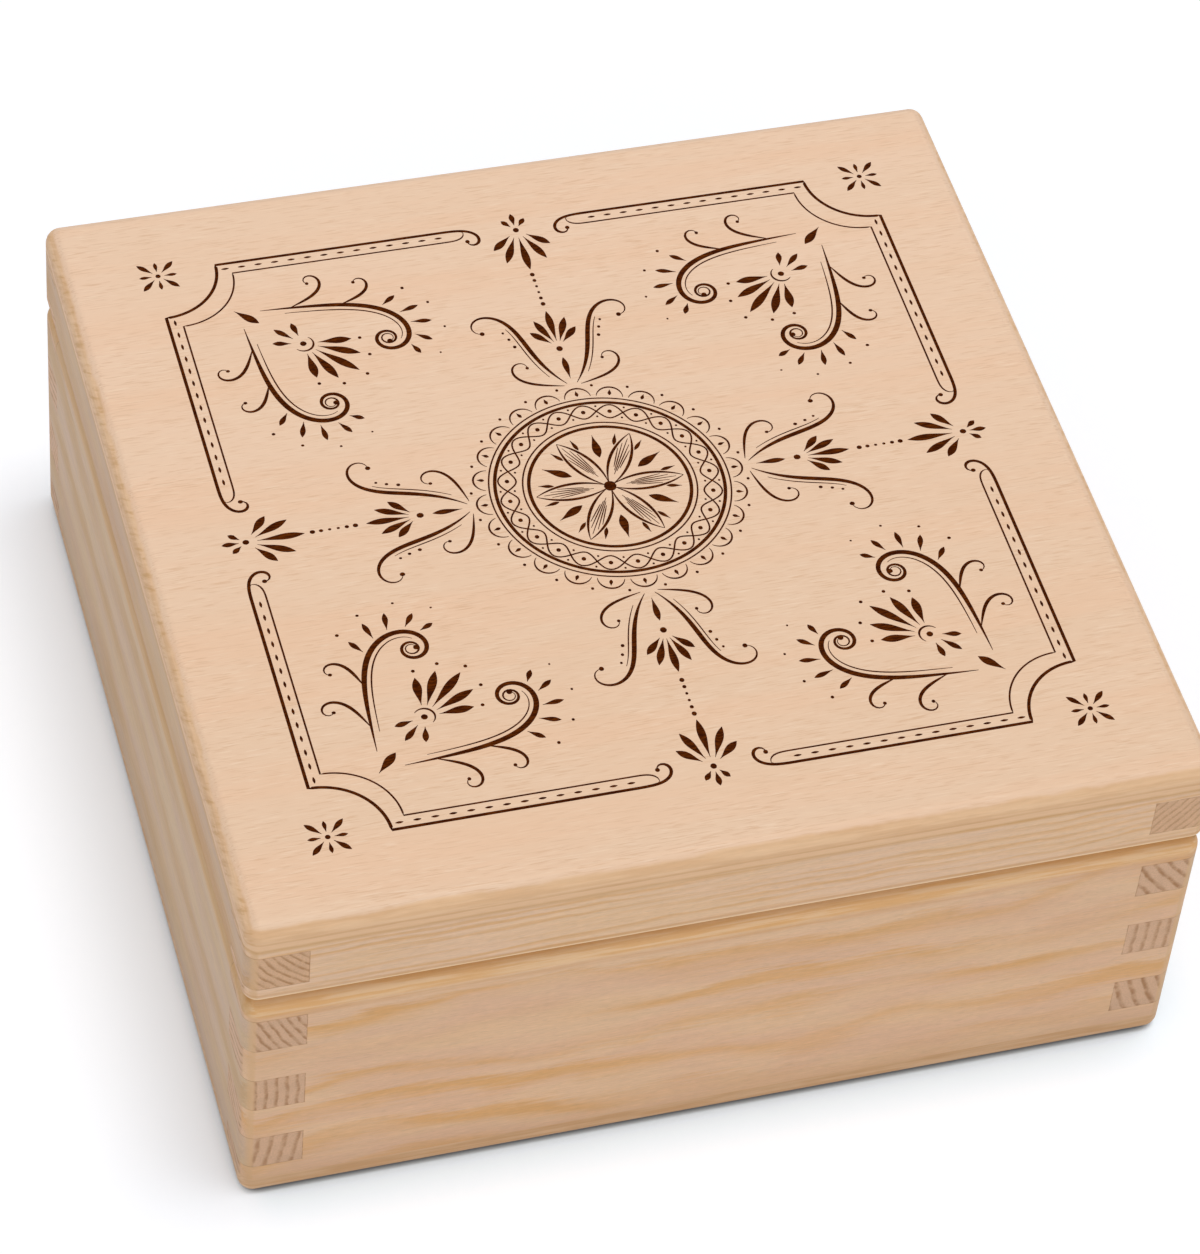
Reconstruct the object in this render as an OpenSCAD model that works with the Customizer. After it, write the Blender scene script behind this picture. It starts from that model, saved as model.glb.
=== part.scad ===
// Square keepsake box with a hinged lid.
// Comb-jointed frame boards, a plywood panel under the base and one on the lid,
// and two butt hinges let into the back.
// Origin: middle of the underside. Front faces -Y, lid opens about the back (+Y).

/* [Box] */
// Outside width of the box, left to right
box_w = 220; // [140:1:320]
// Outside depth of the box, front to back
box_d = 220; // [120:1:320]
// Thickness of the frame boards of base and lid
board_t = 14; // [12.5:0.5:18]
// Height of the boards of the base frame
base_board_h = 65; // [40:0.5:140]
// Height of the rails of the lid frame
lid_rail_h = 17.5; // [14:0.5:40]
// Thickness of the plywood panel on the lid
top_panel_t = 6; // [4.5:0.5:9]
// Thickness of the plywood panel under the base
bottom_panel_t = 6; // [4:0.5:9]
// Gap between the rim of the base and the closed lid
lid_gap = 0.4; // [0.3:0.1:0.8]

/* [Comb joints] */
// Height of one finger of the comb joints
finger_h = 10.7; // [8:0.1:14]
// Height of the base's lowest finger, cut short by the board's edge
base_first_finger_h = 4.8; // [3:0.1:9]
// Height of the lid's lowest finger, cut short by the rail's edge
lid_first_finger_h = 4.4; // [3:0.1:6]

/* [Rounded edges] */
// Radius of the upright corners
corner_r = 3.5; // [1.5:0.1:5]
// Radius round the top of the lid
top_edge_r = 4; // [2:0.1:6]
// Radius round the lower edge of the lid
lid_low_edge_r = 1.5; // [0.6:0.1:3]
// Radius round the rim of the base, which makes the finger groove
rim_edge_r = 5; // [4.5:0.1:7]
// Radius round the foot of the box
foot_edge_r = 3.5; // [1.5:0.1:5]

/* [Hinges] */
// Length of each hinge along the back
hinge_len = 25; // [18:0.5:40]
// Distance from the side of the box to the near end of a hinge
hinge_inset = 34; // [24:0.5:45]
// Thickness of a hinge leaf
leaf_t = 0.8; // [0.6:0.1:1.2]
// Width of a hinge leaf from the pin's centre to its inner edge
leaf_w = 8.6; // [7:0.1:10]
// Outside radius of the knuckles
knuckle_r = 1.6; // [1.4:0.05:2]
// Number of knuckles of a hinge, shared by its two leaves
knuckle_count = 5; // [3:2:7]
// Gap between neighbouring knuckles
knuckle_gap = 0.15; // [0.1:0.05:0.3]
// Distance from the back face in to the knuckles
knuckle_setback = 0.05; // [0.05:0.05:0.5]
// Radius of the hinge pin
pin_r = 0.75; // [0.6:0.05:0.9]
// Running clearance between pin and knuckles, on the radius
pin_fit = 0.05; // [0.03:0.01:0.1]
// Length of pin that shows past each end of the hinge
pin_end = 0.4; // [0.2:0.1:1]
// Clearance between the hinge and the wood round it
recess_fit = 0.2; // [0.1:0.05:0.4]

/* [Screws] */
// Length of a hinge screw with its head
screw_len = 9; // [6:0.5:11]
// Radius of the screw's shank
screw_r = 0.8; // [0.6:0.05:1]
// Radius of the countersunk head
screw_head_r = 1.55; // [1.3:0.05:1.8]
// Length of the screw's pointed end
screw_point = 1.8; // [1:0.1:2.5]
// Distance from each end of a leaf to its screw
screw_from_end = 5.5; // [3:0.1:7]
// Distance from the pin's centre to the screws
screw_from_pin = 5.2; // [4.4:0.1:6]
// Width of the slot in a screw head
slot_w = 0.35; // [0.25:0.05:0.5]
// Depth of the slot in a screw head
slot_d = 0.3; // [0.2:0.05:0.4]
// Clearance between a screw and its hole, on the radius
screw_fit = 0.04; // [0.02:0.01:0.08]

/* [Hidden] */
$fn = 96;

// Overshoot of a cut past the solid that it cuts
over = 1;

// Heights of the joints between the pieces
base_frame_z = bottom_panel_t;
rim_z = base_frame_z + base_board_h;
lid_z = rim_z + lid_gap;
top_panel_z = lid_z + lid_rail_h;
box_h = top_panel_z + top_panel_t;

// The hinge axis runs along X, in the middle of the gap and just inside the back face
pin_y = box_d / 2 - knuckle_setback - knuckle_r;
pin_z = rim_z + lid_gap / 2;
hinge_x = box_w / 2 - hinge_inset - hinge_len / 2;
knuckle_pitch = (hinge_len + knuckle_gap) / knuckle_count;
knuckle_len = knuckle_pitch - knuckle_gap;
bore_r = pin_r + pin_fit;
trough_r = knuckle_r + recess_fit;
trough_len = hinge_len + 2 * (pin_end + recess_fit);
leaf_inner_y = pin_y - leaf_w;
screw_y = pin_y - screw_from_pin;
screw_x = hinge_len / 2 - screw_from_end;

// Upright section from side to side, with its own radius at the lower and upper edges
module section(w, h, low_r, high_r) {
  translate([-w / 2, low_r]) square([w, h - low_r - high_r]);
  translate([-w / 2 + low_r, 0]) square([w - 2 * low_r, h - high_r]);
  translate([-w / 2 + high_r, low_r]) square([w - 2 * high_r, h - low_r]);
  for (x = [-1, 1]) {
    translate([x * (w / 2 - low_r), low_r]) circle(low_r);
    translate([x * (w / 2 - high_r), h - high_r]) circle(high_r);
  }
}

// Outer form of the base or of the lid: the routed edges are swept round the upright corners
module outer_form(z, h, low_r, high_r) {
  translate([0, 0, z]) difference() {
    intersection() {
      rotate([90, 0, 90]) linear_extrude(box_w, center = true) section(box_d, h, low_r, high_r);
      rotate([90, 0, 0]) linear_extrude(box_d, center = true) section(box_w, h, low_r, high_r);
    }
    for (x = [-1, 1], y = [-1, 1])
      translate([x * (box_w / 2 - corner_r), y * (box_d / 2 - corner_r), 0])
        mirror([x < 0 ? 1 : 0, 0, 0]) mirror([0, y < 0 ? 1 : 0, 0]) corner_waste(h, low_r, high_r);
  }
}

// What the router leaves outside one upright corner, whose axis is at the origin
module corner_waste(h, low_r, high_r) {
  difference() {
    translate([0, 0, -over]) cube([corner_r + over, corner_r + over, h + 2 * over]);
    rotate_extrude() intersection() {
      translate([corner_r - box_w / 2, 0]) section(box_w, h, low_r, high_r);
      square([corner_r + over, h]);
    }
  }
}

module base_form() { outer_form(0, rim_z, foot_edge_r, rim_edge_r); }

module lid_form() { outer_form(lid_z, box_h - lid_z, lid_low_edge_r, top_edge_r); }

// Heights at which the side boards' fingers start, up one corner of a frame
function finger_starts(z, h, first) =
  [for (k = [0 : floor((h - first + finger_h) / (2 * finger_h)) - 1]) z + first + 2 * k * finger_h];

// The side boards' fingers at all four corners of a frame, as blocks board_t square
module side_fingers(z, h, first) {
  for (x = [-1, 1], y = [-1, 1], fz = finger_starts(z, h, first))
    translate([x * (box_w - board_t) / 2 - board_t / 2, y * (box_d - board_t) / 2 - board_t / 2, fz])
      cube([board_t, board_t, min(finger_h, z + h - fz)]);
}

// Front (side = -1) or back (side = 1) board of a frame, as long as the box is wide
module long_board(side, z, h, first) {
  difference() {
    translate([-box_w / 2, side * (box_d - board_t) / 2 - board_t / 2, z]) cube([box_w, board_t, h]);
    side_fingers(z, h, first);
  }
}

// Left (side = -1) or right (side = 1) board: it ends at the long boards, but for its fingers
module cross_board(side, z, h, first) {
  translate([side * (box_w - board_t) / 2 - board_t / 2, -box_d / 2 + board_t, z])
    cube([board_t, box_d - 2 * board_t, h]);
  intersection() {
    side_fingers(z, h, first);
    translate([side * (box_w - board_t) / 2 - board_t / 2, -box_d / 2, z]) cube([board_t, box_d, h]);
  }
}

module base_long(side) { long_board(side, base_frame_z, base_board_h, base_first_finger_h); }

module base_cross(side) { cross_board(side, base_frame_z, base_board_h, base_first_finger_h); }

module lid_long(side) { long_board(side, lid_z, lid_rail_h, lid_first_finger_h); }

module lid_cross(side) { cross_board(side, lid_z, lid_rail_h, lid_first_finger_h); }

// A screw pointing down from the origin, which is at the middle of its head; fit fattens it
module screw_blank(fit) {
  cone_h = screw_head_r - screw_r;
  rotate_extrude() polygon([
    [0, 0],
    [screw_head_r + fit, 0],
    [screw_r + fit, -cone_h],
    [screw_r + fit, -screw_len + screw_point - fit],
    [0, -screw_len - fit]
  ]);
}

module screw() {
  difference() {
    screw_blank(0);
    translate([-screw_head_r - over, -slot_w / 2, -slot_d])
      cube([2 * (screw_head_r + over), slot_w, slot_d + over]);
  }
}

// Puts its children at every screw of one hinge leaf, head at the closed joint.
// up = -1 for the base leaf, screwed downwards, and 1 for the lid leaf, screwed upwards
module at_screws(x, up) {
  for (s = [-1, 1])
    translate([x + s * screw_x, screw_y, up < 0 ? rim_z : lid_z]) rotate([up < 0 ? 0 : 180, 0, 0])
      children();
}

// Wood cut away for one leaf, the knuckles and the two screws
module hinge_recess(x, up) {
  recess_len = hinge_len + 2 * recess_fit;
  translate([x - recess_len / 2, leaf_inner_y - recess_fit, up < 0 ? rim_z - leaf_t : lid_z - over])
    cube([recess_len, leaf_w + recess_fit, leaf_t + over]);
  translate([x, pin_y, pin_z]) rotate([0, 90, 0]) cylinder(h = trough_len, r = trough_r, center = true);
  at_screws(x, up) screw_blank(screw_fit);
}

// Knuckles first, first + 2, ... of the hinge at x, as solid barrels
module knuckles(x, first) {
  for (k = [first : 2 : knuckle_count - 1])
    translate([x - hinge_len / 2 + k * knuckle_pitch, pin_y, pin_z])
      rotate([0, 90, 0]) cylinder(h = knuckle_len, r = knuckle_r);
}

// Notches in a leaf's edge that leave room for the other leaf's knuckles
module notches(x, first, z) {
  start_x = x - hinge_len / 2 - knuckle_gap;
  for (k = [first : 2 : knuckle_count - 1])
    translate([start_x + k * knuckle_pitch, pin_y - knuckle_r - knuckle_gap, z - over])
      cube([knuckle_len + 2 * knuckle_gap, leaf_w, leaf_t + 2 * over]);
}

// One leaf: a plate flush with the wood, its knuckles, the pin's bore and two screw holes
module leaf(x, up) {
  z = up < 0 ? rim_z - leaf_t : lid_z;
  own = up < 0 ? 0 : 1;
  difference() {
    union() {
      difference() {
        translate([x - hinge_len / 2, leaf_inner_y, z]) cube([hinge_len, leaf_w, leaf_t]);
        notches(x, 1 - own, z);
      }
      knuckles(x, own);
    }
    translate([x, pin_y, pin_z]) rotate([0, 90, 0])
      cylinder(h = hinge_len + 2 * over, r = bore_r, center = true);
    at_screws(x, up) screw_blank(screw_fit);
  }
}

// Pin with slightly coned ends
module pin(x) {
  half = hinge_len / 2 + pin_end;
  cone = pin_end / 2;
  translate([x, pin_y, pin_z]) rotate([0, 90, 0]) rotate_extrude() polygon([
    [0, -half],
    [pin_r - cone, -half],
    [pin_r, -half + cone],
    [pin_r, half - cone],
    [pin_r - cone, half],
    [0, half]
  ]);
}

module base_front_board() { color("burlywood") intersection() { base_long(-1); base_form(); } }

module base_back_board() {
  color("burlywood") difference() {
    intersection() { base_long(1); base_form(); }
    for (s = [-1, 1]) hinge_recess(s * hinge_x, -1);
  }
}

module base_left_board() { color("tan") intersection() { base_cross(-1); base_form(); } }

module base_right_board() { color("tan") intersection() { base_cross(1); base_form(); } }

module bottom_panel() {
  color("wheat") intersection() {
    translate([-box_w / 2, -box_d / 2, 0]) cube([box_w, box_d, bottom_panel_t]);
    base_form();
  }
}

module left_hinge_base_leaf() { color("goldenrod") leaf(-hinge_x, -1); }

module right_hinge_base_leaf() { color("goldenrod") leaf(hinge_x, -1); }

module left_hinge_pin() { color("silver") pin(-hinge_x); }

module right_hinge_pin() { color("silver") pin(hinge_x); }

module base_hinge_screws() { color("gold") for (s = [-1, 1]) at_screws(s * hinge_x, -1) screw(); }

module lid_front_rail() { color("burlywood") intersection() { lid_long(-1); lid_form(); } }

module lid_back_rail() {
  color("burlywood") difference() {
    intersection() { lid_long(1); lid_form(); }
    for (s = [-1, 1]) hinge_recess(s * hinge_x, 1);
  }
}

module lid_left_rail() { color("tan") intersection() { lid_cross(-1); lid_form(); } }

module lid_right_rail() { color("tan") intersection() { lid_cross(1); lid_form(); } }

module lid_top_panel() {
  color("wheat") intersection() {
    translate([-box_w / 2, -box_d / 2, top_panel_z]) cube([box_w, box_d, top_panel_t]);
    lid_form();
  }
}

module left_hinge_lid_leaf() { color("goldenrod") leaf(-hinge_x, 1); }

module right_hinge_lid_leaf() { color("goldenrod") leaf(hinge_x, 1); }

module lid_hinge_screws() { color("gold") for (s = [-1, 1]) at_screws(s * hinge_x, 1) screw(); }

base_front_board();
base_back_board();
base_left_board();
base_right_board();
bottom_panel();
left_hinge_base_leaf();
right_hinge_base_leaf();
left_hinge_pin();
right_hinge_pin();
base_hinge_screws();
lid_front_rail();
lid_back_rail();
lid_left_rail();
lid_right_rail();
lid_top_panel();
left_hinge_lid_leaf();
right_hinge_lid_leaf();
lid_hinge_screws();
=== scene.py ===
import math
from collections import namedtuple

import bpy
from mathutils import Matrix, Vector
from mathutils.geometry import delaunay_2d_cdt
from mathutils.kdtree import KDTree


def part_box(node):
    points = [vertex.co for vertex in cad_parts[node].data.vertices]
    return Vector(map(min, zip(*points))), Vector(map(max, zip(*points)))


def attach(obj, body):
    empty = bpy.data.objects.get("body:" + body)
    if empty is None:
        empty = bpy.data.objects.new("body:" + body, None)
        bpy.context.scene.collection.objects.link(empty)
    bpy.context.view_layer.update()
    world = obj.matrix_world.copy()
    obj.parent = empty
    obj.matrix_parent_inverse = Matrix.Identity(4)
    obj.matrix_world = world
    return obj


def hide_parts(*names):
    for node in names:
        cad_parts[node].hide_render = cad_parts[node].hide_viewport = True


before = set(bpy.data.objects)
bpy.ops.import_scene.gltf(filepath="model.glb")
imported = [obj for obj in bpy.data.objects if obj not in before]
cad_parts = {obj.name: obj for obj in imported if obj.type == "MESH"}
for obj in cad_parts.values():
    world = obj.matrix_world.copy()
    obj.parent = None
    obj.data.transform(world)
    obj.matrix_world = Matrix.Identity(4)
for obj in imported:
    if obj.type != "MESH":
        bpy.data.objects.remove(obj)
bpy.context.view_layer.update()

# Sizes below are in millimetres unless a name says otherwise; Blender works in metres.
MM = 0.001
LOW, HIGH = 0, 1


def level(node, end):
    """Height of the lowest or highest point of a CAD node."""
    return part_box(node)[end].z / MM


# Sizes of the box, read from the frame
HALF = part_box("lid_top_panel")[HIGH].x / MM
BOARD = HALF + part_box("base_left_board")[HIGH].x / MM
INNER = HALF - BOARD
MIDDLE = HALF - BOARD / 2
FOOT_SEAM = level("base_front_board", LOW)
RIM = level("base_front_board", HIGH)
LID_LOW = level("lid_front_rail", LOW)
PANEL_LOW = level("lid_top_panel", LOW)
TOP = level("lid_top_panel", HIGH)
PIN_Z = (RIM + LID_LOW) / 2

# Comb joints: height of a finger, and where the side boards' lowest fingers start
FINGER = 10.7
BASE_FINGERS = FOOT_SEAM + 4.8
LID_FINGERS = LID_LOW + 4.4

# Radii of the rounded edges
RIM_ROUND = 5.0
FOOT_ROUND = 3.5

# Radius of a hinge screw's head
SCREW_HEAD = 1.55

# Thickness of a panel, and of its plies that show: face veneer above, back ply below
PANEL_T = TOP - PANEL_LOW
VENEER = 0.55
BACK_PLY = 1.9


def tone(red, green, blue):
    """An sRGB colour, 0 to 255, as the linear RGBA that a shader takes."""
    def linear(c):
        c /= 255
        return c / 12.92 if c <= 0.04045 else ((c + 0.055) / 1.055) ** 2.4
    return (linear(red), linear(green), linear(blue), 1.0)


# Tones of the boards' edges, painted light and shade among them; their faces' tones stand with the
# boards, further down
# The rim's pale and warm streaks: partly the wood's other layers, partly painted light on the round that
# faces up
RIM_PALE = tone(241, 201, 154)
RIM_WARM = tone(231, 177, 112)
# Browner rim on the left and right faces, partly painted shade
RIM_SIDE = tone(214, 172, 119)
BELOW_RIM = tone(214, 158, 104)
# Painted shadow that the lid casts on the base's rim, just under it
LID_SHADOW = tone(200, 145, 79)
# Painted shade on the foot, the rounded edge that faces the floor
FOOT_SHADE = tone(200, 150, 100)
# Glue line at the lid panel's seam, darkened further by painted seam shadow
GLUE_AND_SEAM_SHADOW = tone(213, 165, 107)
ABOVE_LIP = tone(207, 151, 93)
# Painted shadow under the lid's lower lip
LIP_SHADOW = tone(170, 114, 64)
# Painted highlight on the lid's lower lip
LIP_HIGHLIGHT = tone(255, 226, 180)
UPRIGHT_CORNER = tone(224, 182, 137)
JOINT_LINE = tone(164, 110, 66)

# Tones of the plywood's faces, of its edge and of the burnt lines
FACE = tone(233, 199, 168)
FACE_TO_BACK = tone(238, 204, 175)
FACE_CLOUD = tone(235, 202, 172)
FACE_BAND = tone(237, 195, 161)
FACE_FLECK = tone(217, 176, 140)
FACE_GLINT = tone(244, 217, 190)
CORE_FLECK = tone(208, 158, 102)
CORE_GLINT = tone(246, 210, 172)
PLY_GLUE = tone(214, 160, 104)
PALE_PLY = tone(240, 198, 156)
# Amber band under the veneer on the panel's round: partly the core's tone, partly painted shade
BELOW_VENEER = tone(201, 157, 112)
CHAR_DARK = tone(56, 17, 0)
CHAR_LIGHT = tone(98, 44, 5)

# Dirt and painted shade in the hinges' hollows: round the screws' seats and in their slots
METAL_DIRT_AND_SHADE = tone(72, 52, 30)


# ---------------------------------------------------------------- shader nodes


class Field:
    """A value that varies over a surface: a node's output socket with arithmetic."""

    def __init__(self, graph, socket):
        self.graph = graph
        self.socket = socket

    def _math(self, operation, *others):
        return self.graph.node("ShaderNodeMath", self, *others, operation=operation)

    def __add__(self, other):
        return self._math("ADD", other)

    def __sub__(self, other):
        return self._math("SUBTRACT", other)

    def __mul__(self, other):
        return self._math("MULTIPLY", other)

    def __truediv__(self, other):
        return self._math("DIVIDE", other)

    def __rsub__(self, other):
        return (self * -1) + other

    def abs(self):
        return self._math("ABSOLUTE")

    def fract(self):
        return self._math("FRACT")

    def sqrt(self):
        return self._math("SQRT")

    def above(self, limit):
        return self._math("GREATER_THAN", limit)

    def below(self, limit):
        return self._math("LESS_THAN", limit)

    def larger(self, other):
        return self._math("MAXIMUM", other)

    def rise(self, start, end, low=0.0, high=1.0):
        """Goes smoothly from low to high while the value goes from start to end."""
        return self.graph.node(
            "ShaderNodeMapRange", self, start, end, low, high, interpolation_type="SMOOTHSTEP"
        )

    def line(self, at, half_width):
        """1 where the value equals at, fading to 0 half_width away."""
        return (self - at).abs().rise(0.0, half_width, 1.0, 0.0)

    def steps(self, tops, values):
        """The first of values up to the first of tops, the next one up to the next, and so on."""
        total = values[0]
        for top, before, after in zip(tops, values, values[1:]):
            total = self.above(top) * (after - before) + total
        return total


class Graph:
    """Builds the node tree of its owner, a material or the world."""

    def __init__(self, owner):
        self.owner = owner
        self.owner.use_nodes = True
        self.tree = self.owner.node_tree
        self.tree.nodes.clear()

    def node(self, kind, *values, output=0, named=None, **options):
        """Adds a node, fills its inputs in order (and named ones by name), returns one output."""
        made = self.tree.nodes.new(kind)
        for option, value in options.items():
            setattr(made, option, value)
        sockets = [s for s in made.inputs if s.enabled]
        for socket, value in zip(sockets, values):
            self.put(value, socket)
        for key, value in (named or {}).items():
            self.put(value, made.inputs[key])
        return Field(self, made.outputs[output])

    def put(self, value, socket):
        """Links a Field to a socket, or sets the socket to a plain value."""
        if isinstance(value, Field):
            self.tree.links.new(value.socket, socket)
        else:
            colour_as_vector = socket.type == "VECTOR" and len(value) == 4
            socket.default_value = value[:3] if colour_as_vector else value

    def vector(self, x, y, z):
        return self.node("ShaderNodeCombineXYZ", x, y, z)

    def split(self, vector):
        made = self.tree.nodes.new("ShaderNodeSeparateXYZ")
        self.put(vector, made.inputs[0])
        return [Field(self, s) for s in made.outputs]

    def place(self):
        """x, y and z on the object at rest, in millimetres."""
        metres = self.node("ShaderNodeTexCoord", output="Object")
        return [axis * (1 / MM) for axis in self.split(metres)]

    def facing(self):
        """The three parts of the surface's normal, on the object at rest."""
        return self.split(self.node("ShaderNodeTexCoord", output="Normal"))

    def noise(self, x, y, z, detail=2.0, roughness=0.5):
        """Soft noise round 0.5 with features about 1 wide in x, y and z."""
        return self.node(
            "ShaderNodeTexNoise",
            output="Fac",
            named={
                "Vector": self.vector(x, y, z),
                "Scale": 1.0,
                "Detail": detail,
                "Roughness": roughness,
            },
        )

    def mix(self, share, first, second):
        """Blends two colours: first where share is 0, second where it is 1."""
        made = self.tree.nodes.new("ShaderNodeMix")
        made.data_type = "RGBA"
        self.put(share, made.inputs["Factor"])
        colours = [s for s in made.inputs if s.type == "RGBA"]
        self.put(first, colours[0])
        self.put(second, colours[1])
        return Field(self, [s for s in made.outputs if s.type == "RGBA"][0])

    def shade(self, colour, amount):
        """Multiplies a colour by a number."""
        made = self.tree.nodes.new("ShaderNodeVectorMath")
        made.operation = "SCALE"
        self.put(colour, made.inputs[0])
        self.put(amount, made.inputs["Scale"])
        return Field(self, made.outputs[0])

    def surface(self, colour, roughness, height, depth_mm, **constants):
        """Principled surface with a bump of depth_mm where height goes from 0 to 1."""
        shader = self.tree.nodes.new("ShaderNodeBsdfPrincipled")
        bump = self.node(
            "ShaderNodeBump",
            output="Normal",
            named={"Strength": 1.0, "Distance": depth_mm * MM, "Height": height},
        )
        self.put(colour, shader.inputs["Base Color"])
        self.put(roughness, shader.inputs["Roughness"])
        self.put(bump, shader.inputs["Normal"])
        for key, value in constants.items():
            shader.inputs[key.replace("_", " ")].default_value = value
        self.finish(shader)
        return self.owner

    def finish(self, shader, kind="ShaderNodeOutputMaterial"):
        output = self.tree.nodes.new(kind)
        self.tree.links.new(shader.outputs[0], output.inputs["Surface"])


def new_graph(name):
    """The empty node tree of a new material."""
    return Graph(bpy.data.materials.new(name))


# ---------------------------------------------------------------- pine boards

# How the growth rings lie in a board: the pith's distance from the box's middle and its
# height, the distance between rings, how much the rings climb per millimetre along the
# board, how far slow and quick waves bend them, and how much fibres fray them, in rings.
Growth = namedtuple("Growth", "out height ring slope wander ripple fray")

# Rings on one finger's end: angle of the lines from the horizontal, radius of their bend,
# distance between them, and how dark they are, from 0 to 1.
FingerEnd = namedtuple("FingerEnd", "angle bend spacing depth")

# Tones of a board: its faces' early wood, late wood and pinker patches, its ends and their rings
Tones = namedtuple("Tones", "early late pink end_base end_line")


def long_grain(g, along, across, z, growth, tones):
    """Colour and height of a board's long faces: bands that come and go, under fine fibres."""
    wander = g.noise(along * 0.009, across * 0.02, z * 0.02) - 0.5
    ripple = g.noise(along * 0.03, across * 0.06 + 9, z * 0.06) - 0.5
    side = across.abs() - growth.out + wander * growth.wander
    rise = z - growth.height - along * growth.slope + ripple * growth.ripple
    rings = (side * side + rise * rise).sqrt() / growth.ring
    fray = g.noise(along * 0.07, across * 1.1, z * 1.1, detail=3.5, roughness=0.62) - 0.5
    phase = (rings + fray * growth.fray).fract()
    latewood = phase.rise(0.1, 0.62) * phase.rise(0.66, 1.0, 1.0, 0.0)
    strength = g.noise(along * 0.011, rings * 0.9, 3.0).rise(0.4, 0.62, 0.12, 1.0)

    patch = g.noise(along * 0.02, across * 0.1, z * 0.1 + 5, detail=4.0, roughness=0.6)
    streak = g.noise(along * 0.03, across * 0.6, z * 0.6 + 3, detail=3.0, roughness=0.6)
    fibre = g.noise(along * 0.3, across * 3.2, z * 3.2, detail=2.5, roughness=0.6)
    dark = g.noise(along * 0.42 + 31, across * 4.0, z * 4.0, detail=1.0).rise(0.6, 0.74)
    light = g.noise(along * 0.38 + 57, across * 3.8, z * 3.8, detail=1.0).rise(0.6, 0.74)

    colour = g.mix(patch.rise(0.38, 0.62), tones.early, tones.pink)
    colour = g.mix(latewood * strength, colour, tones.late)
    grain = (fibre - 0.5) * 0.34 + (streak - 0.5) * 0.2 + 1.0
    colour = g.shade(colour, grain - dark * 0.1 + light * 0.07)
    height = fibre * 0.6 + latewood * 0.25 - dark * 0.4
    return colour, height


def finger_heights(first):
    """Middles of a board's fingers, three of the base and one of the lid."""
    base = [BASE_FINGERS + FINGER * (0.5 + first + 2 * i) for i in range(3)]
    return base + [LID_FINGERS + FINGER * (0.5 + first)]


def end_grain(g, along, across, z, middle, fingers, first, tones):
    """Colour and height of the boards' ends: arcs of rings, which differ on each finger."""
    heights = finger_heights(first)
    tops = [height + FINGER for height in heights[:2]] + [PIN_Z]
    across_centres, height_centres = [], []
    for finger, height in zip(fingers, heights):
        turn = math.radians(finger.angle + 90)
        across_centres.append(middle + finger.bend * math.cos(turn))
        height_centres.append(height + finger.bend * math.sin(turn))
    side = across - z.steps(tops, across_centres)
    rise = z - z.steps(tops, height_centres)
    wobble = g.noise(across * 0.25, z * 0.25, along * 0.02) - 0.5
    radius = (side * side + rise * rise).sqrt() + wobble * 1.1
    phase = (radius / z.steps(tops, [f.spacing for f in fingers])).fract()
    line = phase.rise(0.42, 0.78) * phase.rise(0.82, 1.0, 1.0, 0.0)
    patchy = g.noise(across * 0.45, z * 0.45, 3.0).rise(0.32, 0.62, 0.4, 1.0)
    strength = z.steps(tops, [f.depth for f in fingers]) * patchy

    pores = g.noise(across * 2.4, z * 2.4, along * 0.3, detail=3.0, roughness=0.7)
    blotch = g.noise(across * 0.2, z * 0.3, 7.0)
    colour = g.mix(line * strength, tones.end_base, tones.end_line)
    colour = g.shade(colour, (pores - 0.5) * 0.6 + (blotch - 0.5) * 0.22 + 1.0)
    return colour, pores * 0.5 - line * 0.3


def joint_lines(g, x, y, z):
    """Mask of the hairlines where boards and panels meet: 1 on a line, 0 elsewhere."""
    width = 0.17
    in_lid = z.above(PIN_Z)
    start = in_lid * (LID_FINGERS - BASE_FINGERS) + BASE_FINGERS
    step = (z - start) / FINGER
    across = ((step + 0.5).fract() - 0.5).abs() * FINGER
    side_finger = (step * 0.5).fract().below(0.5)
    at_x = x.abs().above(INNER - width)
    at_y = y.abs().above(INNER - width)
    between_fingers = across.rise(0.0, width, 1.0, 0.0) * at_x * at_y
    beside_x = x.abs().line(INNER, width) * at_y * side_finger
    beside_y = y.abs().line(INNER, width) * at_x * (1 - side_finger)
    in_frame = (z.above(BASE_FINGERS - 1) * z.below(RIM)).larger(
        z.above(LID_FINGERS - 1) * z.below(PANEL_LOW - 1)
    )
    broken = g.noise(x * 0.4, y * 0.4, z * 0.4).rise(0.36, 0.56, 0.3, 1.0)
    combs = between_fingers.larger(beside_x).larger(beside_y) * in_frame * broken
    seams = (z.line(PANEL_LOW, 0.15) * 0.5).larger(z.line(FOOT_SEAM, 0.15) * 0.2)
    return combs.larger(seams)


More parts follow.
